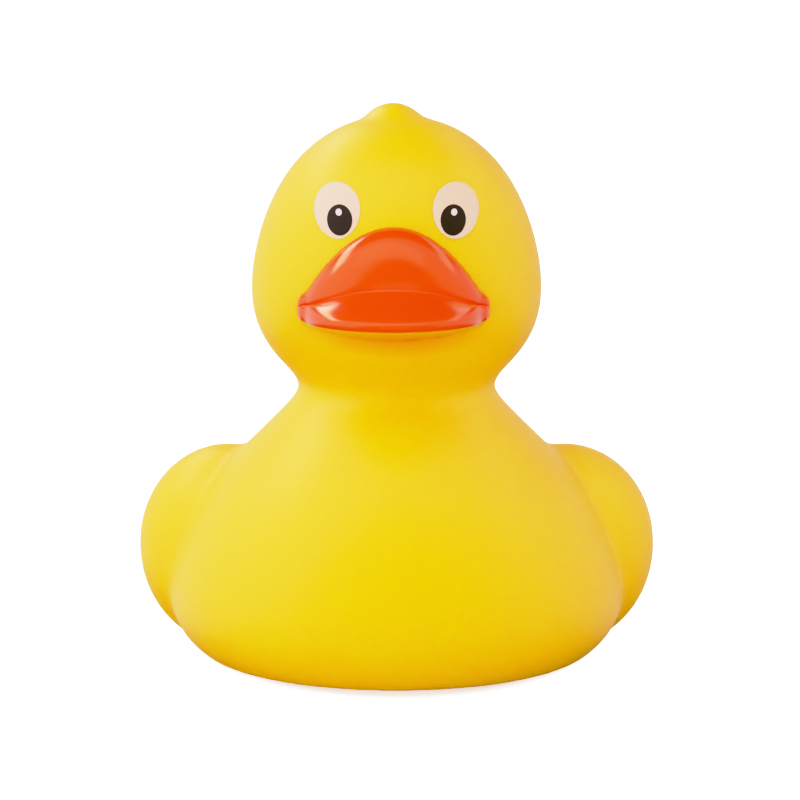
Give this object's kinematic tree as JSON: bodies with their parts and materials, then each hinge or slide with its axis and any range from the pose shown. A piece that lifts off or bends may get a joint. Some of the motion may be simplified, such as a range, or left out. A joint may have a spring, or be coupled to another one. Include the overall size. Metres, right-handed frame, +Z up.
{
  "type": "rubber duck",
  "caption": "Classic bath duck in soft yellow vinyl with an orange bill, printed oval eyes, folded wings, upturned tail and a squeaker in its flat base",
  "frame": {"origin": "middle of the duck's box in plan, on the plane its foot rests on", "axes": "+Z up, -Y the way the duck faces, +X to the duck's left"},
  "size_m": [0.0772, 0.0831, 0.0818],
  "materials": {
    "yellow_vinyl": "satin moulded vinyl",
    "orange_paint": "gloss sprayed paint",
    "white_ink": "matt printed ink",
    "black_ink": "satin printed ink",
    "milky_plastic": "milky polyethylene"
  },
  "bodies": {
    "root": {"duck_body": "yellow_vinyl", "squeaker": "milky_plastic"}
  },
  "joints": []
}
